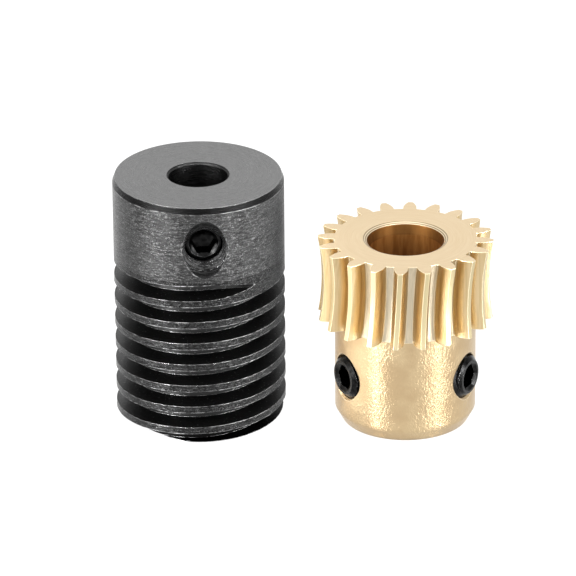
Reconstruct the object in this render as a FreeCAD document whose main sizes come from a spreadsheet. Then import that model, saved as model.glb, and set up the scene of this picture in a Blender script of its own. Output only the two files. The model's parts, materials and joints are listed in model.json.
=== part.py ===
import FreeCAD, Part
import math
import os

import Sketcher
from FreeCAD import Vector

# Worm gear set, module 0.5, ratio 20:1: a steel worm and a brass worm wheel, each made in one piece
# and standing on its end face, with three M3 set screws. Millimetres, +Z up. The origin is the
# centre of the worm's bore at its foot, on the surface that both gears stand on. X runs from the
# worm to the wheel, and the set screws face -Y. An azimuth is an angle from -Y towards +X.

SIZES = {
    # The tooth system that worm and wheel share
    "gear_module": 0.5,
    "pressure_angle": 14.5,
    "wheel_teeth": 20,
    "tip_clearance": 0.125,
    "thread_thinning": 0.08,
    # Worm: plain collar above, single-start right-hand thread below
    "worm_diameter": 11.6,
    "worm_length": 17.6,
    "worm_bore": 4.0,
    "worm_bore_chamfer": 0.14,
    "worm_edge_radial": 0.16,
    "worm_edge_axial": 0.42,
    "worm_foot_radial": 0.7,
    "worm_foot_axial": 0.41,
    "groove_turns": 8,
    "groove_end_height": 11.46,
    "groove_end_azimuth": 9.0,
    "runout_length": 4.5,
    "runout_taper": -4.5,
    "worm_screw_height": 14.58,
    "worm_screw_azimuth": 4.8,
    "worm_screw_reach": 4.6,
    "countersink_radius": 2.12,
    "countersink_depth": 0.18,
    # Wheel: toothed head above, plain hub below
    "wheel_across": 13.97,
    "wheel_forward": 0.7,
    "wheel_height": 13.1,
    "face_width": 5.6,
    "profile_shift": 0.2,
    "throat_radius": 15.5,
    "tooth_azimuth": 2.8,
    "hub_diameter": 9.6,
    "hub_foot_radial": 0.44,
    "hub_foot_axial": 0.82,
    "wheel_bore": 5.0,
    "foot_bore_chamfer": 0.2,
    "mouth_radius": 2.9,
    "mouth_depth": 0.16,
    "mouth_step_radius": 2.62,
    "mouth_taper": 0.7,
    "wheel_screw_height": 3.85,
    "left_screw_azimuth": -60.0,
    "right_screw_azimuth": 60.0,
    "left_screw_reach": 4.96,
    "right_screw_reach": 5.04,
    "lip_radius": 1.7,
    "lip_depth": 0.15,
    # M3 set screw with a hexagon socket and a cup point
    "screw_radius": 1.5,
    "screw_length": 2.3,
    "screw_edge": 0.3,
    "socket_corner_radius": 0.866,
    "socket_depth": 1.2,
    "cup_radius": 0.7,
    "cup_depth": 0.35,
    "hole_radius": 1.55,
}

# Lengths that several outlines share, as expressions over the sheet
THREAD_TIP_RADIUS = "(dims.worm_diameter / 2)"
THREAD_PITCH_RADIUS = "(dims.worm_diameter / 2 - dims.gear_module)"
THREAD_ROOT_RADIUS = "(dims.worm_diameter / 2 - 2 * dims.gear_module - dims.tip_clearance)"
THREAD_MOUTH_RADIUS = "(dims.worm_diameter / 2 + 0.3)"
SPACE_HALF_WIDTH = "(pi * dims.gear_module / 4 + dims.thread_thinning / 2)"
AXIAL_PITCH = "(pi * dims.gear_module)"
WHEEL_THROAT_TIP = "((dims.wheel_teeth / 2 + 1) * dims.gear_module + dims.profile_shift)"
HUB_RADIUS = "(dims.hub_diameter / 2)"

# Where a tool stands: at the worm or the wheel, turned about Z, or lying along a radius
WORM_CENTRE = "0; 0; "
WHEEL_CENTRE = "dims.wheel_across; -dims.wheel_forward; "
UPRIGHT = "placement(vector(%s); rotation(vector(0; 0; 1); %s))"
RADIAL = ("placement(vector(%s); rotation(vector(0; 0; 1); %s) * rotation(vector(1; 0; 0); 90))"
          " * placement(vector(0; 0; %s); rotation(vector(0; 0; 1); 0))")

TOOTH_SECTIONS = 7
FLANK_POINTS = 12
SECTION_OVERRUN = 0.35
CUTTER_REACH = 0.7
TOOL_OVERRUN = 1


def new_sheet(doc):
    """Put every driving dimension in one spreadsheet, one alias a row."""
    sheet = doc.addObject("Spreadsheet::Sheet", "dims")
    for row, (alias, value) in enumerate(SIZES.items(), start=1):
        sheet.set("A%d" % row, alias)
        sheet.set("B%d" % row, str(value))
        sheet.setAlias("B%d" % row, alias)
    doc.recompute()
    return sheet


def worth(item, expression):
    """The number that an expression over the sheet comes to."""
    value = item.evalExpression(expression)
    return float(getattr(value, "Value", value))


def bind(item, **expressions):
    """Bind properties of an object to the sheet."""
    for name, expression in expressions.items():
        item.setExpression(name, expression)


def new_sketch(body, name, role):
    """A sketch on one of a body's own origin planes."""
    plane = next(feature for feature in body.Origin.OriginFeatures if feature.Role == role)
    sketch = body.newObject("Sketcher::SketchObject", name)
    sketch.AttachmentSupport = (plane, [""])
    sketch.MapMode = "FlatFace"
    sketch.Visibility = False
    return sketch


def fix_point(sketch, element, point, across, up):
    """Fix one point of a sketch at two coordinates, each "0" or an expression over the sheet."""
    for kind, axis, coordinate in (("DistanceX", -2, across), ("DistanceY", -1, up)):
        if coordinate == "0":
            sketch.addConstraint(Sketcher.Constraint("PointOnObject", element, point, axis))
        elif coordinate:
            size = worth(sketch, coordinate)
            index = sketch.addConstraint(Sketcher.Constraint(kind, -1, 1, element, point, size))
            sketch.setExpression("Constraints[%d]" % index, coordinate)


def draw_outline(sketch, corners):
    """Draw a closed outline of straight lines whose corners are bound to the sheet."""
    points = [Vector(worth(sketch, across), worth(sketch, up), 0) for across, up in corners]
    for start, end in zip(points, points[1:] + points[:1]):
        sketch.addGeometry(Part.LineSegment(start, end))
    for index in range(len(points)):
        after = (index + 1) % len(points)
        sketch.addConstraint(Sketcher.Constraint("Coincident", index, 2, after, 1))
    for index, (across, up) in enumerate(corners):
        fix_point(sketch, index, 1, across, up)


def revolve(body, sketch):
    """Turn a sketch right round its vertical axis."""
    turned = body.newObject("PartDesign::Revolution", sketch.Name + "_turned")
    turned.Profile = sketch
    turned.ReferenceAxis = (sketch, ["V_Axis"])
    turned.Angle = 360
    return turned


def cut(doc, label, base, tool):
    """One shape less another."""
    result = doc.addObject("Part::Cut", label)
    result.Label = label
    result.Base = base
    result.Tool = tool
    return result


def drill(doc, name, centre, height, azimuth, surface, mouth_radius, mouth_depth):
    """The tool for a tapped hole along a radius, from the gear's axis out, with a conical mouth."""
    place = RADIAL % (centre + height, azimuth, "%s")
    bore = doc.addObject("Part::Cylinder", name + "_bore")
    bind(bore, Radius="dims.hole_radius", Height="%s + %d" % (surface, TOOL_OVERRUN), Placement=place % "0")
    slope = "(%s - dims.hole_radius) / %s" % (mouth_radius, mouth_depth)
    cone = doc.addObject("Part::Cone", name + "_mouth")
    bind(cone, Radius1="dims.hole_radius", Radius2="%s + %s * %d" % (mouth_radius, slope, TOOL_OVERRUN),
         Height="%s + %d" % (mouth_depth, TOOL_OVERRUN), Placement=place % (surface + " - " + mouth_depth))
    tool = doc.addObject("Part::Fuse", name)
    tool.Base = bore
    tool.Tool = cone
    return tool


def thread_space(body, name, height):
    """Sketch the thread's space at one height: straight flanks that open outwards."""
    spread = "(%s - %s) * tan(dims.pressure_angle)"
    root_half = "(%s - %s)" % (SPACE_HALF_WIDTH, spread % (THREAD_PITCH_RADIUS, THREAD_ROOT_RADIUS))
    mouth_half = "(%s + %s)" % (SPACE_HALF_WIDTH, spread % (THREAD_MOUTH_RADIUS, THREAD_PITCH_RADIUS))
    sketch = new_sketch(body, name, "XZ_Plane")
    draw_outline(sketch, [
        (THREAD_ROOT_RADIUS, "%s - %s" % (height, root_half)),
        (THREAD_MOUTH_RADIUS, "%s - %s" % (height, mouth_half)),
        (THREAD_MOUTH_RADIUS, "%s + %s" % (height, mouth_half)),
        (THREAD_ROOT_RADIUS, "%s + %s" % (height, root_half)),
    ])
    return sketch


def threaded_bar(doc):
    """A turned bar with its thread, whose last turn runs straight out below the collar."""
    body = doc.addObject("PartDesign::Body", "worm_bar")
    outline = new_sketch(body, "worm_outline", "XZ_Plane")
    bore = "dims.worm_bore / 2"
    bore_mouth = "dims.worm_bore / 2 + dims.worm_bore_chamfer"
    draw_outline(outline, [
        (bore_mouth, "0"),
        (THREAD_TIP_RADIUS + " - dims.worm_foot_radial", "0"),
        (THREAD_TIP_RADIUS, "dims.worm_foot_axial"),
        (THREAD_TIP_RADIUS, "dims.worm_length - dims.worm_edge_axial"),
        (THREAD_TIP_RADIUS + " - dims.worm_edge_radial", "dims.worm_length"),
        (bore_mouth, "dims.worm_length"),
        (bore, "dims.worm_length - dims.worm_bore_chamfer"),
        (bore, "dims.worm_bore_chamfer"),
    ])
    revolve(body, outline)
    doc.recompute()

    start = "dims.groove_end_height - dims.groove_turns * " + AXIAL_PITCH
    sketch = thread_space(body, "groove_start", start)
    groove = body.newObject("PartDesign::SubtractiveHelix", "thread_groove")
    groove.Profile = sketch
    groove.ReferenceAxis = (sketch, ["V_Axis"])
    groove.LeftHanded = False
    bind(groove, Pitch=AXIAL_PITCH, Height="dims.groove_turns * " + AXIAL_PITCH)
    doc.recompute()

    runout = body.newObject("PartDesign::Pocket", "thread_runout")
    runout.Profile = thread_space(body, "groove_end", "dims.groove_end_height")
    bind(runout, Length="dims.runout_length", TaperAngle="dims.runout_taper")
    bind(body, Placement=UPRIGHT % (WORM_CENTRE + "0", "dims.groove_end_azimuth - 90"))
    return body


def worm(doc):
    """The worm: threaded bar, bored through, with one countersunk tapped hole in its collar."""
    bar = threaded_bar(doc)
    hole = drill(doc, "worm_hole", WORM_CENTRE, "dims.worm_screw_height", "dims.worm_screw_azimuth",
                 THREAD_TIP_RADIUS, "dims.countersink_radius", "dims.countersink_depth")
    return cut(doc, "worm", bar, hole)


def wheel_blank(doc):
    """The turned wheel before its teeth: hub, head with a hollow throat, and stepped bore mouth."""
    body = doc.addObject("PartDesign::Body", "wheel_bar")
    outline = new_sketch(body, "wheel_outline", "XZ_Plane")
    bore = "dims.wheel_bore / 2"
    top = "dims.wheel_height"
    face_foot = "(dims.wheel_height - dims.face_width)"
    rise = "dims.throat_radius - sqrt(dims.throat_radius ^ 2 - dims.face_width ^ 2 / 4)"
    end_tip = "(%s + %s)" % (WHEEL_THROAT_TIP, rise)
    draw_outline(outline, [
        (end_tip, top),
        ("dims.mouth_radius", top),
        ("dims.mouth_step_radius", top + " - dims.mouth_depth"),
        (bore, "%s - dims.mouth_depth - dims.mouth_taper" % top),
        (bore, "dims.foot_bore_chamfer"),
        (bore + " + dims.foot_bore_chamfer", "0"),
        (HUB_RADIUS + " - dims.hub_foot_radial", "0"),
        (HUB_RADIUS, "dims.hub_foot_axial"),
        (HUB_RADIUS, face_foot),
        (end_tip, face_foot),
    ])
    turned = revolve(body, outline)
    doc.recompute()

    throat = new_sketch(body, "throat_circle", "XZ_Plane")
    reach = "%s + dims.throat_radius" % WHEEL_THROAT_TIP
    middle = "dims.wheel_height - dims.face_width / 2"
    centre = Vector(worth(throat, reach), worth(throat, middle), 0)
    circle = throat.addGeometry(Part.Circle(centre, Vector(0, 0, 1), worth(throat, "dims.throat_radius")))
    fix_point(throat, circle, 3, reach, middle)
    size = throat.addConstraint(Sketcher.Constraint("Radius", circle, worth(throat, "dims.throat_radius")))
    throat.setExpression("Constraints[%d]" % size, "dims.throat_radius")
    hollow = body.newObject("PartDesign::Groove", "throat")
    hollow.Profile = throat
    hollow.ReferenceAxis = (throat, ["V_Axis"])
    hollow.Angle = 360
    bind(body, Placement=UPRIGHT % (WHEEL_CENTRE + "0", "0"))
    return body


def involute(angle):
    """The involute function of an angle in radians."""
    return math.tan(angle) - angle


def space_half_angle(sheet, radius):
    """Half the angle of a tooth space at a radius, in the middle plane of the wheel's face.

    Outside the base circle the flank is an involute, and near the root it is the path of the
    cutter's corner, whichever has cut the wider space.
    """
    pitch_radius = sheet.wheel_teeth * sheet.gear_module / 2
    pressure = math.radians(sheet.pressure_angle)
    base_radius = pitch_radius * math.cos(pressure)
    root_depth = sheet.gear_module + sheet.tip_clearance
    root_radius = pitch_radius + sheet.profile_shift - root_depth
    corner = math.pi * sheet.gear_module / 4 - root_depth * math.tan(pressure)
    rolled = math.sqrt(max(radius ** 2 - root_radius ** 2, 0)) - corner
    half_angle = math.atan2(corner + rolled, root_radius) - rolled / pitch_radius
    if radius > base_radius:
        thickness = math.pi * sheet.gear_module / 2 + 2 * sheet.profile_shift * math.tan(pressure)
        opening = involute(math.acos(base_radius / radius)) - involute(pressure)
        half_angle = max(half_angle, math.pi / sheet.wheel_teeth - thickness / (2 * pitch_radius) + opening)
    return half_angle


def space_section(sheet, offset):
    """The closed outline of one tooth space in the plane at an offset from the middle of the face.

    Away from the middle the space moves out with the throat, and the teeth keep their thickness.
    """
    rise = sheet.throat_radius - math.sqrt(sheet.throat_radius ** 2 - offset ** 2)
    pitch_radius = sheet.wheel_teeth * sheet.gear_module / 2
    root_radius = pitch_radius + sheet.profile_shift - sheet.gear_module - sheet.tip_clearance
    depth = 2 * sheet.gear_module + sheet.tip_clearance + CUTTER_REACH
    half_pitch = math.pi / sheet.wheel_teeth
    worm_radius = sheet.worm_diameter / 2 - sheet.gear_module
    lead = sheet.gear_module / (2 * worm_radius)
    turned = offset * lead / pitch_radius

    def at(radius, angle):
        return Vector(radius * math.cos(angle + turned), radius * math.sin(angle + turned), offset)

    flanks = []
    for side in (-1, 1):
        points = []
        for index in range(FLANK_POINTS):
            radius = root_radius + depth * (index / (FLANK_POINTS - 1)) ** 2
            half_tooth = radius * (half_pitch - space_half_angle(sheet, radius))
            points.append(at(radius + rise, side * (half_pitch - half_tooth / (radius + rise))))
        flank = Part.BSplineCurve()
        flank.interpolate(points)
        flanks.append(flank)
    left, right = flanks
    root = Part.Arc(left.StartPoint, at(root_radius + rise, 0), right.StartPoint)
    mouth = Part.LineSegment(right.EndPoint, left.EndPoint)
    return Part.Wire([root.toShape(), right.toShape(), mouth.toShape(), left.toShape().reversed()])


def tooth_spaces(doc, sheet):
    """All the wheel's tooth spaces: a throated helical space, copied round the axis."""
    reach = sheet.face_width / 2 + SECTION_OVERRUN
    offsets = [reach * (2 * index / (TOOTH_SECTIONS - 1) - 1) for index in range(TOOTH_SECTIONS)]
    space = Part.makeLoft([space_section(sheet, offset) for offset in offsets], True, False)
    copies = []
    for index in range(int(sheet.wheel_teeth)):
        copy = space.copy()
        copy.rotate(Vector(0, 0, 0), Vector(0, 0, 1), index * 360 / sheet.wheel_teeth)
        copies.append(copy)
    spaces = doc.addObject("Part::Feature", "tooth_spaces")
    spaces.Shape = Part.makeCompound(copies)
    middle = "dims.wheel_height - dims.face_width / 2"
    bind(spaces, Placement=UPRIGHT % (WHEEL_CENTRE + middle, "dims.tooth_azimuth"))
    return spaces


def worm_wheel(doc, sheet):
    """The wheel: toothed blank with two tapped holes in its hub."""
    toothed = cut(doc, "toothed_wheel", wheel_blank(doc), tooth_spaces(doc, sheet))
    for side in ("left", "right"):
        hole = drill(doc, side + "_hole", WHEEL_CENTRE, "dims.wheel_screw_height",
                     "dims.%s_screw_azimuth" % side, HUB_RADIUS, "dims.lip_radius", "dims.lip_depth")
        label = "worm_wheel" if side == "right" else "half_drilled_wheel"
        toothed = cut(doc, label, toothed, hole)
    return toothed


def set_screw(doc, label, centre, height, azimuth, reach):
    """One set screw, its socket facing out and its outer end at the given reach from the axis."""
    body = doc.addObject("PartDesign::Body", label + "_bar")
    outline = new_sketch(body, label + "_outline", "XZ_Plane")
    draw_outline(outline, [
        ("0", "dims.cup_depth"),
        ("dims.cup_radius", "0"),
        ("dims.screw_radius - dims.screw_edge", "0"),
        ("dims.screw_radius", "dims.screw_edge"),
        ("dims.screw_radius", "dims.screw_length - dims.screw_edge"),
        ("dims.screw_radius - dims.screw_edge", "dims.screw_length"),
        ("0", "dims.screw_length"),
    ])
    revolve(body, outline)
    socket = doc.addObject("Part::Prism", label + "_socket")
    socket.Polygon = 6
    bind(socket, Circumradius="dims.socket_corner_radius", Height="dims.socket_depth + %d" % TOOL_OVERRUN)
    bind(socket, Placement=UPRIGHT % ("0; 0; dims.screw_length - dims.socket_depth", "0"))
    screw = cut(doc, label, body, socket)
    bind(screw, Placement=RADIAL % (centre + height, azimuth, reach + " - dims.screw_length"))
    return screw


def check(doc, pieces):
    """Stop if an object failed, or a piece isn't one sound solid."""
    for item in doc.Objects:
        if "Invalid" in item.State or "Error" in item.State:
            raise RuntimeError("%s failed: %s" % (item.Name, item.State))
    for piece in pieces:
        shape = piece.Shape
        if shape.isNull() or not shape.isValid() or len(shape.Solids) != 1:
            raise RuntimeError("%s isn't one valid solid" % piece.Label)


def main():
    doc = FreeCAD.newDocument("worm_gear_set")
    sheet = new_sheet(doc)
    pieces = [
        worm(doc),
        set_screw(doc, "worm_set_screw", WORM_CENTRE, "dims.worm_screw_height",
                  "dims.worm_screw_azimuth", "dims.worm_screw_reach"),
        worm_wheel(doc, sheet),
    ]
    for side in ("left", "right"):
        pieces.append(set_screw(doc, "wheel_set_screw_" + side, WHEEL_CENTRE, "dims.wheel_screw_height",
                                "dims.%s_screw_azimuth" % side, "dims.%s_screw_reach" % side))
    doc.recompute()
    check(doc, pieces)
    os.makedirs("parts", exist_ok=True)
    for piece in pieces:
        print("%-24s %9.3f mm3" % (piece.Label, piece.Shape.Volume))
        piece.Shape.exportStep("parts/%s.step" % piece.Label)


main()
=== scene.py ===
import json
import math

import bpy
from mathutils import Matrix, Vector, noise


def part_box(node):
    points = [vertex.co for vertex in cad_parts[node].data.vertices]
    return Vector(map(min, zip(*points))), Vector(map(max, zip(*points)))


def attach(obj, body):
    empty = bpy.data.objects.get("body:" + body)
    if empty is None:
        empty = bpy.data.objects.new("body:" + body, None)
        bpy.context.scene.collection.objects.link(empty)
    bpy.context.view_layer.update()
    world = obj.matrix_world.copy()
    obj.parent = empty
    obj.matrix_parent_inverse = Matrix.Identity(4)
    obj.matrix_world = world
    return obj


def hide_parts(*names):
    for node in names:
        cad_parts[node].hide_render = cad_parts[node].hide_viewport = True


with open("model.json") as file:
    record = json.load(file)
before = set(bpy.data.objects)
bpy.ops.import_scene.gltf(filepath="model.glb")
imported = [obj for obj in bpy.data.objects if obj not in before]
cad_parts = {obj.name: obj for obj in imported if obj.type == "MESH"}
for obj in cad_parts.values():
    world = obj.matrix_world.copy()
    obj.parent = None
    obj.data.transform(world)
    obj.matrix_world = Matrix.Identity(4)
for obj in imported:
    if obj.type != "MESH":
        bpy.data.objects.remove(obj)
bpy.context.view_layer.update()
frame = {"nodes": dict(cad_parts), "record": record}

# The frame is in metres. Lengths here are in millimetres and azimuths in degrees, except where noted.
MM = 0.001


def in_mm(corner):
    """A point of the frame, in millimetres."""
    return Vector(corner) / MM


# Places and sizes read from the frame
WORM_HIGH = in_mm(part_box("worm")[1])
WHEEL_LOW, WHEEL_HIGH = (in_mm(corner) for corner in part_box("worm_wheel"))
MOUNTS = {mount["name"]: mount for mount in frame["record"]["mounts"]}
WORM_FOOT = in_mm(MOUNTS["worm_bore"]["pos_m"])
WHEEL_FOOT = in_mm(MOUNTS["wheel_bore"]["pos_m"])
WORM_BORE = MOUNTS["worm_bore"]["dims"]["r_mm"]
WHEEL_BORE = MOUNTS["wheel_bore"]["dims"]["r_mm"]
WORM_TOP = WORM_HIGH.z
WHEEL_TOP = WHEEL_HIGH.z

# The worm's outline: its radius, where the collar ends, its chamfers and the tapped hole's countersink
WORM_RADIUS = 5.8
COLLAR_FOOT = 12.2
EDGE_AXIAL = 0.42
EDGE_RADIAL = 0.16
FOOT_AXIAL = 0.41
COUNTERSINK_RADIUS = 2.12

# The wheel's outline: its toothed head, and the bore's mouth, step and taper below the top face
FACE_WIDTH = 5.6
FACE_FOOT = WHEEL_TOP - FACE_WIDTH
WHEEL_ROOT = 4.575
TOOTH_DEPTH = 1.125
THROAT_RADIUS = 15.5
MOUTH_RADIUS = WHEEL_BORE + 0.4
MOUTH_DEPTH = 0.16
STEP_RADIUS = WHEEL_BORE + 0.12
TAPER_FOOT = 0.86

# How softly one finish gives way to the next
SOFT = 0.02

# Where the tapped holes are: an azimuth from -Y towards +X, a height, and how far out the screw's face is
WORM_HOLE = (4.8, 14.58, 4.6)
LEFT_HOLE = (-60.0, 3.85, 4.96)
RIGHT_HOLE = (60.0, 3.85, 5.04)

# Where a tapped hole's thread starts, where it ends and where its mouth opens, from the gear's axis
WORM_HOLE_THREAD = (2.05, 5.6, 5.46)
HUB_HOLE_THREAD = (2.55, 4.36, 4.25)

# The worm's thread
PITCH = math.pi / 2
GROOVE_END_HEIGHT = 11.46
GROOVE_END_AZIMUTH = 9.0
GROOVE_MOUTH_HALF = 0.562

# The set screws and the thread in their holes: sizes, shares of the pitch, and how finely they are built
SCREW_PITCH = 0.5
SCREW_RADIUS = 1.5
SCREW_ROOT = 1.22
SCREW_LENGTH = 2.3
SCREW_EDGE = 0.33
SCREW_EDGE_SLOPE = 1.05
HOLE_CREST = 1.27
HOLE_ROOT = 1.56
HOLE_MOUTH_SLOPE = 1.7
HOLE_SLEEVE = 0.05
SOCKET_APOTHEM = 0.75
SOCKET_DEPTH = 1.2
SCREW_CREST_SHARE = 0.125
HOLE_ROOT_SHARE = 0.30
FLANK_SHARE = 0.36
THREAD_COLUMNS = 96
SCREW_ROWS = 120
HOLE_ROWS_PER_MM = 48

# The burr along the worm's crests
BURR_STEPS_PER_TURN = 240
BURR_CORNERS = 5
BURR_SINK = 0.012

# An added piece's edges stay sharp where its faces meet at more than this
SHARP_ANGLE = math.radians(38)


class Look:
    """One material's node graph. Each method adds nodes and gives back the socket of the result."""

    def __init__(self, name):
        self.material = bpy.data.materials.new(name)
        self.material.use_nodes = True
        self.tree = self.material.node_tree
        self.tree.nodes.clear()
        self.shader = self.tree.nodes.new("ShaderNodeBsdfPrincipled")
        output = self.tree.nodes.new("ShaderNodeOutputMaterial")
        self.tree.links.new(self.shader.outputs["BSDF"], output.inputs["Surface"])

    def put(self, socket, value):
        """Link a value to an input, or set the input to a constant."""
        if isinstance(value, bpy.types.NodeSocket):
            self.tree.links.new(value, socket)
        else:
            socket.default_value = value

    def node(self, kind, inputs, output=0, **settings):
        """Add a node, by the end of its type's name, and give back one of its outputs."""
        node = self.tree.nodes.new("ShaderNode" + kind)
        for name, value in settings.items():
            setattr(node, name, value)
        for key, value in inputs.items():
            self.put(node.inputs[key], value)
        return node.outputs[output]

    def math(self, operation, *values):
        return self.node("Math", dict(enumerate(values)), operation=operation)

    def add(self, *values):
        total = values[0]
        for value in values[1:]:
            total = self.math("ADD", total, value)
        return total

    def times(self, *values):
        product = values[0]
        for value in values[1:]:
            product = self.math("MULTIPLY", product, value)
        return product

    def less(self, first, second):
        return self.math("SUBTRACT", first, second)

    def vector(self, operation, *values, output=0):
        return self.node("VectorMath", dict(enumerate(values)), output, operation=operation)

    def fade(self, value, low, high, first=0.0, last=1.0):
        """A smooth step from first to last as the value goes from low to high."""
        inputs = {"Value": value, "From Min": low, "From Max": high, "To Min": first, "To Max": last}
        return self.node("MapRange", inputs, interpolation_type="SMOOTHSTEP")

    # A Mix node's sockets share their names, so the next two take them by number

    def mix(self, factor, first, second):
        """Two colours mixed."""
        return self.node("Mix", {0: factor, 6: first, 7: second}, 2, data_type="RGBA")

    def level(self, factor, first, second):
        """Two numbers mixed."""
        return self.node("Mix", {0: factor, 2: first, 3: second}, 0, data_type="FLOAT")

    def noise(self, place, scale, detail=2.0, rough=0.5):
        inputs = {"Vector": place, "Scale": scale, "Detail": detail, "Roughness": rough}
        return self.node("TexNoise", inputs)

    def place(self, centre):
        """A point's vector, radius, height and turn, in millimetres and radians from a centre."""
        position = self.node("TexCoord", {}, "Object")
        offset = self.vector("SUBTRACT", position, tuple(centre * MM))
        vector = self.vector("MULTIPLY", offset, (1 / MM, 1 / MM, 1 / MM))
        split = self.tree.nodes.new("ShaderNodeSeparateXYZ")
        self.put(split.inputs[0], vector)
        across, along, height = split.outputs
        radius = self.math("SQRT", self.add(self.times(across, across), self.times(along, along)))
        turn = self.math("ARCTAN2", along, across)
        return vector, radius, height, turn

    def from_hole(self, vector, hole):
        """How far a point is from the axis of a tapped hole, and how far out along it, in millimetres."""
        azimuth, height, _ = hole
        turn = math.radians(azimuth)
        out = (math.sin(turn), -math.cos(turn), 0.0)
        offset = self.vector("SUBTRACT", vector, (0.0, 0.0, height))
        across = self.vector("CROSS_PRODUCT", offset, out)
        along = self.vector("DOT_PRODUCT", offset, out, output="Value")
        return self.vector("LENGTH", across, output="Value"), along

    def unrolled(self, radius, turn, height, stretch_round, stretch_up, stretch_deep=1.0):
        """A vector over a turned surface, stretched round it, along its axis and along its radius."""
        join = self.tree.nodes.new("ShaderNodeCombineXYZ")
        self.put(join.inputs[0], self.times(self.math("COSINE", turn), stretch_round))
        self.put(join.inputs[1], self.times(self.math("SINE", turn), stretch_round))
        self.put(join.inputs[2], self.add(self.times(height, stretch_up), self.times(radius, stretch_deep)))
        return join.outputs[0]

    def edges(self, radius_mm):
        """How near a point is to a sharp edge, 0 away from one and more on it, and the rounded normal."""
        bevel = self.node("Bevel", {"Radius": self.times(radius_mm, MM)}, samples=6)
        normal = self.node("NewGeometry", {}, "Normal")
        alike = self.vector("DOT_PRODUCT", bevel, normal, output="Value")
        return self.less(1.0, alike), bevel

    def bump(self, height, depth_mm, strength=1.0, normal=None):
        """A normal that follows a height map, on top of another normal if one is given."""
        inputs = {"Height": height, "Distance": depth_mm * MM, "Strength": strength}
        if normal is not None:
            inputs["Normal"] = normal
        return self.node("Bump", inputs)

    def finish(self, **inputs):
        """Set the shader's inputs, and give back the material."""
        for name, value in inputs.items():
            self.put(self.shader.inputs[name.replace("_", " ")], value)
        return self.material


def grey(value, tint=(1.0, 1.0, 1.0)):
    """A grey colour, with an optional tint."""
    return tuple(value * part for part in tint) + (1.0,)


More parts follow.
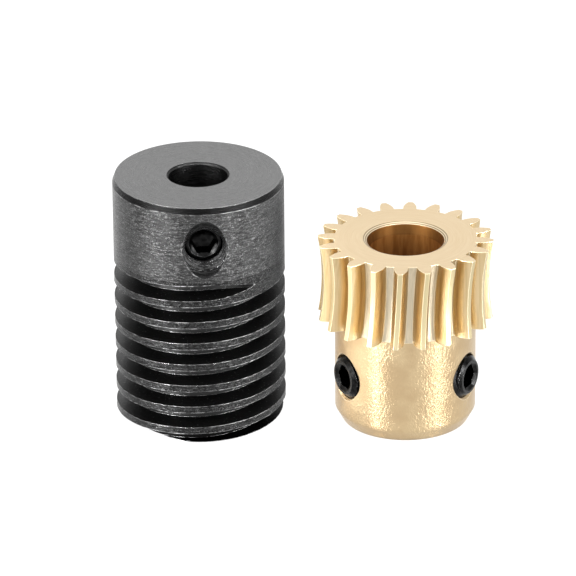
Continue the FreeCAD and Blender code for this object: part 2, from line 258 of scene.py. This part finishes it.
def black_steel():
    """The worm: black oxide over turned steel, rubbed bright on the crests, its edges painted lighter,
    partly as wear and partly as a painted highlight.
    """
    look = Look("black_steel")
    place, radius, height, turn = look.place(WORM_FOOT)
    edge, rounded = look.edges(0.035)
    from_hole, out_of_hole = look.from_hole(place, WORM_HOLE)

    # Where each surface is, from 0 to 1
    top = look.fade(height, WORM_TOP - SOFT, WORM_TOP - SOFT / 4)
    chamfer_foot = WORM_TOP - EDGE_AXIAL
    chamfer = look.fade(height, chamfer_foot - SOFT / 2, chamfer_foot + SOFT / 2)
    chamfer = look.times(chamfer, look.less(1.0, top))
    foot = look.fade(height, FOOT_AXIAL + 0.01, FOOT_AXIAL + 0.05, 1.0, 0.0)
    outside = look.fade(radius, WORM_RADIUS - 0.03, WORM_RADIUS - 0.01)
    thread = look.fade(height, COLLAR_FOOT - 0.05, COLLAR_FOOT, 1.0, 0.0)
    bore = look.fade(radius, WORM_BORE + 0.02, WORM_BORE + 0.12, 1.0, 0.0)
    in_hole = look.fade(from_hole, COUNTERSINK_RADIUS + 0.04, COUNTERSINK_RADIUS + 0.08, 1.0, 0.0)
    in_hole = look.times(in_hole, look.fade(out_of_hole, 0.0, 1.0), look.less(1.0, outside))
    groove = look.times(thread, look.less(1.0, outside), look.less(1.0, bore))
    crest = look.times(thread, outside)

    # Turning lines, grain and blotches
    round_lines = look.noise(look.unrolled(radius, turn, height, 1.5, 16.0, 16.0), 1.0, 4.0, 0.62)
    fine_lines = look.noise(look.unrolled(radius, turn, height, 6.0, 44.0, 44.0), 1.0, 3.0, 0.65)
    grain = look.noise(place, 9.0, 3.0, 0.75)
    cloud = look.noise(place, 0.8, 3.0, 0.6)
    mottle = look.noise(look.unrolled(radius, turn, height, 14.0, 6.0), 1.0, 4.0, 0.7)
    dashes = look.noise(look.unrolled(radius, turn, height, 13.0, 12.0, 12.0), 1.0, 4.0, 0.76)
    waver = look.times(look.noise(place, 1.5, 2.0), 9.0)
    rings = look.math("SINE", look.add(look.times(from_hole, 24.0), waver))

    # The colour of each surface
    side = look.mix(look.fade(cloud, 0.35, 0.65), grey(0.026), grey(0.042))
    side = look.mix(look.fade(dashes, 0.42, 0.64), side, grey(0.078))
    speck = look.times(look.fade(grain, 0.52, 0.60), look.fade(dashes, 0.44, 0.56))
    side = look.mix(speck, side, grey(0.19))
    pits = look.fade(look.noise(place, 6.0, 3.0, 0.7), 0.32, 0.42, 1.0, 0.0)
    side = look.mix(pits, side, grey(0.018))
    # The top face is painted much lighter than the sides: painted light on the top, over its turning lines
    # and grain
    face = look.mix(look.fade(fine_lines, 0.34, 0.66), grey(0.19), grey(0.27))
    face = look.mix(look.times(look.fade(grain, 0.56, 0.70), 0.6), face, grey(0.42))
    crests = look.mix(look.fade(mottle, 0.38, 0.66), grey(0.012), grey(0.038))
    crests = look.mix(speck, crests, grey(0.12))
    colour = look.mix(crest, side, crests)
    specks = look.fade(look.noise(place, 7.0, 2.0), 0.66, 0.72)
    colour = look.mix(groove, colour, look.mix(specks, grey(0.046), grey(0.20)))
    # The countersink is painted darker than the sides: painted shade in the hollow, over its turning rings
    # and grain
    countersink_shade = look.mix(look.fade(rings, -0.2, 0.9), grey(0.008), grey(0.020))
    countersink_shade = look.mix(look.fade(grain, 0.52, 0.68), countersink_shade, grey(0.040))
    colour = look.mix(in_hole, colour, countersink_shade)
    colour = look.mix(top, colour, face)
    # Both chamfers are painted near black: painted shade
    colour = look.mix(look.add(chamfer, foot), colour, grey(0.008))
    colour = look.mix(bore, colour, grey(0.045))

    # Painted highlights as bright lines along the chamfer's two edges, and edges everywhere painted
    # lighter, partly as bare-steel wear and partly as a painted highlight
    from_chamfer_foot = look.math("ABSOLUTE", look.less(height, chamfer_foot - 0.01))
    foot_highlight = look.fade(from_chamfer_foot, 0.01, 0.04, 1.0, 0.0)
    foot_highlight = look.times(foot_highlight, look.fade(radius, WORM_RADIUS - 0.2, WORM_RADIUS - 0.1))
    from_rim = look.math("ABSOLUTE", look.less(radius, WORM_RADIUS - EDGE_RADIAL - 0.01))
    rim_highlight = look.fade(from_rim, 0.015, 0.045, 1.0, 0.0)
    rim_highlight = look.times(rim_highlight, look.fade(height, WORM_TOP - 0.05, WORM_TOP - 0.03))
    nicks = look.noise(look.unrolled(radius, turn, height, 3.4, 1.0), 1.0, 5.0, 0.8)
    nicked = look.fade(nicks, 0.42, 0.60)
    chamfer_highlight = look.add(foot_highlight, look.times(rim_highlight, 0.4))
    colour = look.mix(look.times(chamfer_highlight, nicked), colour, grey(0.26))
    # Edges painted lighter: partly bare-steel wear, partly a painted highlight
    edge_wear_and_highlight = look.times(look.fade(edge, 0.008, 0.08), look.fade(mottle, 0.42, 0.54))
    colour = look.mix(look.times(edge_wear_and_highlight, look.less(1.0, bore)), colour, grey(0.50))

    # Gloss and relief
    gloss = look.level(look.fade(round_lines, 0.3, 0.7), 0.25, 0.35)
    gloss = look.level(groove, gloss, 0.32)
    lines = look.add(look.times(dashes, 0.40), look.times(grain, 0.55))
    lines = look.level(groove, lines, look.times(grain, 0.3))
    lines = look.level(top, lines, look.add(look.times(fine_lines, 0.3), look.times(grain, 0.3)))
    sunk_lines = look.add(look.times(rings, 0.06), look.times(grain, 0.6))
    normal = look.bump(look.level(in_hole, lines, sunk_lines), 0.05, 1.0, rounded)
    return look.finish(Base_Color=colour, Metallic=1.0, Roughness=gloss, Normal=normal)


def pale_brass():
    """The wheel: pale brass, satin on the face, cut bright in the teeth and rolled on the hub."""
    look = Look("pale_brass")
    place, radius, height, turn = look.place(WHEEL_FOOT)
    edge, rounded = look.edges(look.fade(height, 1.2, 1.8, 0.5, 0.06))

    # Where each surface is, from 0 to 1
    top = look.fade(height, WHEEL_TOP - SOFT, WHEEL_TOP - SOFT / 4)
    below_top = look.less(1.0, top)
    hub = look.fade(height, FACE_FOOT - SOFT, FACE_FOOT, 1.0, 0.0)
    toothed = look.times(look.less(1.0, hub), below_top)
    bore = look.times(look.fade(radius, STEP_RADIUS, STEP_RADIUS + SOFT, 1.0, 0.0), below_top)
    outside_bore = look.less(1.0, bore)
    from_middle = look.less(height, FACE_FOOT + FACE_WIDTH / 2)
    rise = look.times(from_middle, from_middle, 0.5 / THROAT_RADIUS)
    up_tooth = look.times(look.less(look.less(radius, rise), WHEEL_ROOT), 1 / TOOTH_DEPTH)
    mouth = look.times(look.fade(radius, MOUTH_RADIUS + 0.2, MOUTH_RADIUS + 0.3, 1.0, 0.0),
                       look.fade(height, WHEEL_TOP - MOUTH_DEPTH - 0.03, WHEEL_TOP - MOUTH_DEPTH - 0.01))
    root = look.fade(up_tooth, 0.06, 0.14, 1.0, 0.0)
    root = look.times(root, toothed, look.less(1.0, mouth), outside_bore)
    land = look.times(look.fade(up_tooth, 0.955, 0.985), toothed)

    # The hub's peel, cutting lines and blotches
    peel = look.noise(look.unrolled(radius, turn, height, 30.0, 4.0, 4.0), 1.0, 2.0, 0.55)
    fine = look.noise(place, 16.0, 3.0, 0.6)
    up_lines = look.noise(look.unrolled(radius, turn, height, 30.0, 0.22, 8.0), 1.0, 3.0, 0.6)
    face_lines = look.noise(look.unrolled(radius, turn, height, 2.5, 1.0, 22.0), 1.0, 3.0, 0.6)
    bore_lines = look.noise(look.unrolled(radius, turn, height, 5.0, 0.3), 1.0, 3.0, 0.6)
    cloud = look.noise(place, 0.6, 2.0, 0.5)

    # The colour of each surface
    # The teeth and the hub are painted much darker than the top face: painted shade on the sides
    dark_flank = look.mix(look.fade(up_lines, 0.35, 0.65), (0.52, 0.375, 0.185, 1), (0.60, 0.445, 0.235, 1))
    pale_flank = look.mix(look.fade(up_lines, 0.35, 0.65), (0.51, 0.385, 0.205, 1), (0.59, 0.455, 0.265, 1))
    flank = look.mix(look.fade(up_tooth, 0.15, 0.85), dark_flank, pale_flank)
    hub_colour = look.mix(look.fade(cloud, 0.35, 0.65), (0.48, 0.35, 0.20, 1), (0.54, 0.41, 0.24, 1))
    face = look.mix(look.fade(face_lines, 0.34, 0.66), (0.81, 0.635, 0.40, 1), (0.86, 0.695, 0.465, 1))
    # The roots of the teeth are painted paler and less yellow: a painted reflection
    root_reflection = look.mix(look.fade(up_lines, 0.3, 0.7), (0.48, 0.41, 0.29, 1), (0.58, 0.50, 0.37, 1))
    colour = look.mix(hub, flank, hub_colour)
    colour = look.mix(root, colour, root_reflection)
    colour = look.mix(land, colour, (0.58, 0.49, 0.29, 1))
    colour = look.mix(top, colour, face)
    mouth_rings = look.math("SINE", look.times(look.add(radius, look.times(height, 0.5)), 36.0))
    mouth_tone = look.mix(look.fade(mouth_rings, -0.4, 0.7), (0.40, 0.30, 0.18, 1), (0.90, 0.76, 0.54, 1))
    colour = look.mix(look.times(mouth, below_top), colour, mouth_tone)
    # The bore is painted a dark copper brown, darker still on its taper under the mouth: painted shade and
    # inter-reflection in the hollow, over its turning lines
    bore_shade = look.mix(look.fade(bore_lines, 0.35, 0.65), (0.27, 0.112, 0.026, 1), (0.40, 0.182, 0.050, 1))
    taper = look.fade(height, WHEEL_TOP - TAPER_FOOT - 0.05, WHEEL_TOP - TAPER_FOOT + 0.03)
    bore_shade = look.mix(look.times(taper, 0.75), bore_shade, (0.10, 0.045, 0.013, 1))
    colour = look.mix(bore, colour, bore_shade)
    # The edges above the foot are painted lighter: a painted highlight along them
    edge_wear_and_highlight = look.times(look.fade(edge, 0.004, 0.06), outside_bore, look.fade(height, 1.8, 2.0))
    colour = look.mix(edge_wear_and_highlight, colour, (0.90, 0.79, 0.56, 1))

    # Gloss and relief
    gloss = look.level(hub, 0.33, 0.30)
    gloss = look.level(top, gloss, 0.42)
    gloss = look.level(bore, gloss, 0.52)
    peel_depth = look.fade(cloud, 0.4, 0.6, 0.15, 0.28)
    peel_height = look.times(look.fade(peel, 0.34, 0.66), hub, outside_bore, peel_depth)
    line_height = look.times(up_lines, toothed, outside_bore, 0.2)
    face_height = look.times(face_lines, top, 0.16)
    height_map = look.add(peel_height, look.times(fine, 0.10), line_height, face_height)
    normal = look.bump(height_map, 0.045, 1.0, rounded)
    return look.finish(Base_Color=colour, Metallic=1.0, Roughness=gloss, Normal=normal)


def black_screw():
    """A set screw: black oxide with a wet gloss, its edges painted lighter, partly as thinner oxide and
    partly as a painted highlight.
    """
    look = Look("black_screw")
    position = look.node("TexCoord", {}, "Object")
    place = look.vector("MULTIPLY", position, (1 / MM, 1 / MM, 1 / MM))
    edge, rounded = look.edges(0.04)
    cloud = look.noise(place, 3.0, 3.0, 0.6)
    fine = look.noise(place, 20.0, 3.0, 0.6)
    colour = look.mix(look.fade(cloud, 0.35, 0.65), grey(0.006), grey(0.016))
    # Edges painted lighter: partly thinner oxide, partly a painted highlight
    colour = look.mix(look.fade(edge, 0.03, 0.25, 0.0, 0.6), colour, grey(0.30))
    gloss = look.level(look.fade(fine, 0.3, 0.7), 0.16, 0.30)
    normal = look.bump(fine, 0.008, 1.0, rounded)
    return look.finish(Base_Color=colour, Metallic=1.0, Roughness=gloss, Normal=normal)


def bare_edge():
    """The burr along the worm's crests: steel rubbed bright, dull in places."""
    look = Look("bare_edge")
    position = look.node("TexCoord", {}, "Object")
    place = look.vector("MULTIPLY", position, (1 / MM, 1 / MM, 1 / MM))
    mottle = look.noise(place, 2.2, 4.0, 0.65)
    colour = look.mix(look.fade(mottle, 0.42, 0.60), grey(0.03), grey(0.26))
    normal = look.bump(look.noise(place, 14.0, 2.0), 0.02)
    return look.finish(Base_Color=colour, Metallic=1.0, Roughness=0.46, Normal=normal)


def white_floor():
    """The floor: lit evenly from within, so that nothing shadows it, and glossy, to mirror the strips."""
    look = Look("white_floor")
    return look.finish(Base_Color=grey(0.05), Roughness=0.12,
                       Emission_Color=grey(1.0), Emission_Strength=0.98)


def mesh_of_rings(name, rings, material, closed=False):
    """A piece from rings of points, each joined to the next, its ends filled or, if closed, joined."""
    count = len(rings[0])
    points = [point for ring in rings for point in ring]
    faces = []
    pairs = len(rings) if closed else len(rings) - 1
    for row in range(pairs):
        here = row * count
        there = (row + 1) % len(rings) * count
        for column in range(count):
            beside = (column + 1) % count
            faces.append((here + column, here + beside, there + beside, there + column))
    if not closed:
        faces.append(tuple(reversed(range(count))))
        faces.append(tuple(range(len(points) - count, len(points))))
    mesh = bpy.data.meshes.new(name)
    mesh.from_pydata([point * MM for point in points], [], faces)
    mesh.materials.append(material)
    mesh.shade_smooth()
    mesh.set_sharp_from_angle(angle=SHARP_ANGLE)
    piece = bpy.data.objects.new(name, mesh)
    bpy.context.scene.collection.objects.link(piece)
    return piece


def thread_turns():
    """The turns of the points on one ring of a thread."""
    return [math.tau * column / THREAD_COLUMNS for column in range(THREAD_COLUMNS)]


def thread_ridge(along, turn, crest_share):
    """How high a right-hand thread stands at a point, from 0 at its root to 1 on its crest."""
    phase = (along / SCREW_PITCH - turn / math.tau) % 1.0
    away = abs(phase - 0.5)
    return min(1.0, max(0.0, (crest_share / 2 + FLANK_SHARE - away) / FLANK_SHARE))


def ring(turns, radius_at, along_at):
    """One ring of points about the local Z axis, as functions of the turn."""
    points = []
    for turn in turns:
        radius = radius_at(turn)
        points.append(Vector((radius * math.cos(turn), radius * math.sin(turn), along_at(turn))))
    return points


def hole_frame(centre, azimuth, height):
    """The frame of a tapped hole: local Z points out of it along the gear's radius."""
    spin = Matrix.Rotation(math.radians(azimuth), 4, "Z") @ Matrix.Rotation(math.radians(90), 4, "X")
    return Matrix.Translation(centre + Vector((0, 0, height))) @ spin


def hexagon(turn):
    """The radius of the socket's hexagon at a turn."""
    return SOCKET_APOTHEM / math.cos(turn % math.radians(60) - math.radians(30))


def set_screw(name, hole, reach, material):
    """A cup-point set screw with a real thread and a hexagon socket, its face at the given reach."""
    turns = thread_turns()
    start = reach - SCREW_LENGTH

    def flat(radius, along):
        return ring(turns, lambda turn: radius, lambda turn: start + along)

    def threaded(along):
        def radius_at(turn):
            ridge = thread_ridge(start + along, turn, SCREW_CREST_SHARE)
            radius = SCREW_ROOT + (SCREW_RADIUS - SCREW_ROOT) * ridge
            end = min(along, SCREW_LENGTH - along)
            return min(radius, SCREW_RADIUS - SCREW_EDGE + end * SCREW_EDGE_SLOPE)
        return ring(turns, radius_at, lambda turn: start + along)

    def socket(scale, along):
        return ring(turns, lambda turn: hexagon(turn) * scale, lambda turn: start + along)

    # From the middle of the cup point, out over its rim, up the thread, and down into the socket
    rings = [flat(0.02, 0.36), flat(0.35, 0.22), flat(0.66, 0.02), flat(0.74, 0.0), flat(1.08, 0.0)]
    rings += [threaded(SCREW_LENGTH * row / SCREW_ROWS) for row in range(SCREW_ROWS + 1)]
    rings += [
        flat(1.12, SCREW_LENGTH),
        flat(1.0, SCREW_LENGTH),
        flat(0.93, SCREW_LENGTH - 0.07),
        socket(1.0, SCREW_LENGTH - 0.16),
        socket(1.0, SCREW_LENGTH - SOCKET_DEPTH),
        flat(0.55, SCREW_LENGTH - SOCKET_DEPTH - 0.06),
        flat(0.02, SCREW_LENGTH - SOCKET_DEPTH - 0.3),
    ]
    placed = [[hole @ point for point in points] for points in rings]
    return mesh_of_rings(name, placed, material)


def hole_thread(name, hole, first, last, mouth, material):
    """The internal thread of a tapped hole, from first to last along it, under a conical mouth."""
    rows = int((last - first) * HOLE_ROWS_PER_MM)
    turns = thread_turns()

    def inner(along):
        def radius_at(turn):
            ridge = 1.0 - thread_ridge(along, turn, HOLE_ROOT_SHARE)
            radius = HOLE_ROOT - (HOLE_ROOT - HOLE_CREST) * ridge
            return max(radius, HOLE_CREST + max(0.0, along - mouth) * HOLE_MOUTH_SLOPE)
        return ring(turns, lambda turn: min(radius_at(turn), HOLE_ROOT), lambda turn: along)

    rings = [inner(first + (last - first) * row / rows) for row in range(rows + 1)]
    for along in (last, first):
        rings.append(ring(turns, lambda turn: HOLE_ROOT + HOLE_SLEEVE, lambda turn: along))
    placed = [[hole @ point for point in points] for points in rings]
    return mesh_of_rings(name, placed, material, closed=True)


def crest_burr(name, side, first_turn, last_turn, thickness, material):
    """The ragged burr along one edge of the worm's groove, as a thin tube of uneven thickness.

    The side is 1 for the groove's upper edge and -1 for its lower one, and the turns count down
    the groove from its end under the collar.
    """
    steps = int((last_turn - first_turn) * BURR_STEPS_PER_TURN)
    rings = []
    for step in range(steps + 1):
        turns_down = first_turn + (last_turn - first_turn) * step / steps
        azimuth = math.radians(GROOVE_END_AZIMUTH) - turns_down * math.tau
        height = GROOVE_END_HEIGHT - turns_down * PITCH + side * GROOVE_MOUTH_HALF
        out = Vector((math.sin(azimuth), -math.cos(azimuth), 0))
        ragged = noise.noise(Vector((step * 0.21, side * 7.0, 3.0)))
        broken = noise.noise(Vector((step * 0.045, side * 3.0, 9.0)))
        size = thickness * max(0.12, 0.62 + 0.9 * ragged + 0.8 * broken)
        centre = WORM_FOOT + out * (WORM_RADIUS - BURR_SINK) + Vector((0, 0, height - side * BURR_SINK))
        points = []
        for corner in range(BURR_CORNERS):
            angle = math.tau * corner / BURR_CORNERS
            up = Vector((0, 0, size * 1.2 * math.sin(angle)))
            points.append(centre + out * size * math.cos(angle) + up)
        rings.append(points)
    return mesh_of_rings(name, rings, material)


def softbox(name, azimuth, elevation, distance, width, height, power):
    """An area light turned to the object, its distance and size in metres."""
    aim = Vector((0.007, 0, 0.008))
    data = bpy.data.lights.new(name, "AREA")
    data.shape = "RECTANGLE"
    data.size = width
    data.size_y = height
    data.energy = power
    lamp = bpy.data.objects.new(name, data)
    level = distance * math.cos(math.radians(elevation))
    rise = distance * math.sin(math.radians(elevation))
    turn = math.radians(azimuth)
    offset = Vector((level * math.sin(turn), -level * math.cos(turn), rise))
    lamp.location = aim + offset
    lamp.rotation_euler = offset.to_track_quat("Z", "Y").to_euler()
    bpy.context.scene.collection.objects.link(lamp)


def studio():
    """The white floor, the soft white surround, the softboxes and the card between the gears."""
    half = 3.0
    mesh = bpy.data.meshes.new("floor")
    corners = [(-half, -half, 0), (half, -half, 0), (half, half, 0), (-half, half, 0)]
    mesh.from_pydata(corners, [], [(0, 1, 2, 3)])
    mesh.materials.append(white_floor())
    floor = bpy.data.objects.new("floor", mesh)
    bpy.context.scene.collection.objects.link(floor)
    world = bpy.data.worlds.new("surround")
    world.use_nodes = True
    world.node_tree.nodes["Background"].inputs["Color"].default_value = (1, 1, 1, 1)
    world.node_tree.nodes["Background"].inputs["Strength"].default_value = 0.9
    bpy.context.scene.world = world
    softbox("left_strip", -50, 25, 0.5, width=0.07, height=0.5, power=5.6)
    softbox("right_strip", 53, 25, 0.5, width=0.065, height=0.5, power=4.8)
    softbox("overhead", 0, 82, 0.6, width=0.6, height=0.5, power=0.8)
    card()


def card():
    """The white card that stands between the gears and keeps each out of the other's reflection."""
    side = 8.5 * MM
    across = (WORM_HIGH.x + WHEEL_LOW.x) / 2 * MM
    mesh = bpy.data.meshes.new("card")
    corners = [(across, -side, 0), (across, side, 0), (across, side, 2 * side), (across, -side, 2 * side)]
    mesh.from_pydata(corners, [], [(0, 1, 2, 3)])
    look = Look("lit_card")
    look.finish(Base_Color=grey(0.8), Emission_Color=grey(1.0), Emission_Strength=0.3)
    mesh.materials.append(look.material)
    sheet = bpy.data.objects.new("card", mesh)
    sheet.visible_camera = False
    sheet.visible_shadow = False
    sheet.visible_diffuse = False
    bpy.context.scene.collection.objects.link(sheet)


def camera():
    """The view from the front and above, through a long lens, its place in metres."""
    elevation = math.radians(24.948)
    roll = math.radians(-0.442)
    distance = 0.36061
    aim = Vector((0.0060, 0, 0.00911))
    data = bpy.data.cameras.new("camera")
    data.sensor_width = 36
    data.lens = 331.35
    view = bpy.data.objects.new("camera", data)
    offset = Vector((0, -math.cos(elevation), math.sin(elevation))) * distance
    view.location = aim + offset
    facing = offset.to_track_quat("Z", "Y").to_matrix().to_4x4()
    view.rotation_euler = (facing @ Matrix.Rotation(roll, 4, "Z")).to_euler()
    bpy.context.scene.collection.objects.link(view)
    bpy.context.scene.camera = view


def paint(node, material):
    """Give a node of the frame its material."""
    slots = frame["nodes"][node].data.materials
    slots.clear()
    slots.append(material)


def add(piece, body):
    """Say which body a piece rides on."""
    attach(piece, body)


def main():
    camera()
    studio()
    bpy.context.scene.view_settings.view_transform = "Standard"

    steel = black_steel()
    brass = pale_brass()
    screw_black = black_screw()
    paint("worm", steel)
    paint("worm_wheel", brass)

    screws = {
        "worm_set_screw": (WORM_FOOT, WORM_HOLE, "worm_screw"),
        "wheel_set_screw_left": (WHEEL_FOOT, LEFT_HOLE, "left_screw"),
        "wheel_set_screw_right": (WHEEL_FOOT, RIGHT_HOLE, "right_screw"),
    }
    for node, (foot, (azimuth, height, reach), body) in screws.items():
        screw = set_screw(node + "_threaded", hole_frame(foot, azimuth, height), reach, screw_black)
        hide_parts(node)
        add(screw, body)

    azimuth, height, _ = WORM_HOLE
    hole = hole_frame(WORM_FOOT, azimuth, height)
    add(hole_thread("worm_hole_thread", hole, *WORM_HOLE_THREAD, steel), "worm")
    for side, (azimuth, height, _) in (("left", LEFT_HOLE), ("right", RIGHT_HOLE)):
        hole = hole_frame(WHEEL_FOOT, azimuth, height)
        add(hole_thread(side + "_hole_thread", hole, *HUB_HOLE_THREAD, brass), "wheel")

    bare = bare_edge()
    add(crest_burr("worm_burr_lower", 1, 0.0, 7.3, thickness=0.024, material=bare), "worm")
    add(crest_burr("worm_burr_upper", -1, 0.25, 6.75, thickness=0.012, material=bare), "worm")


main()
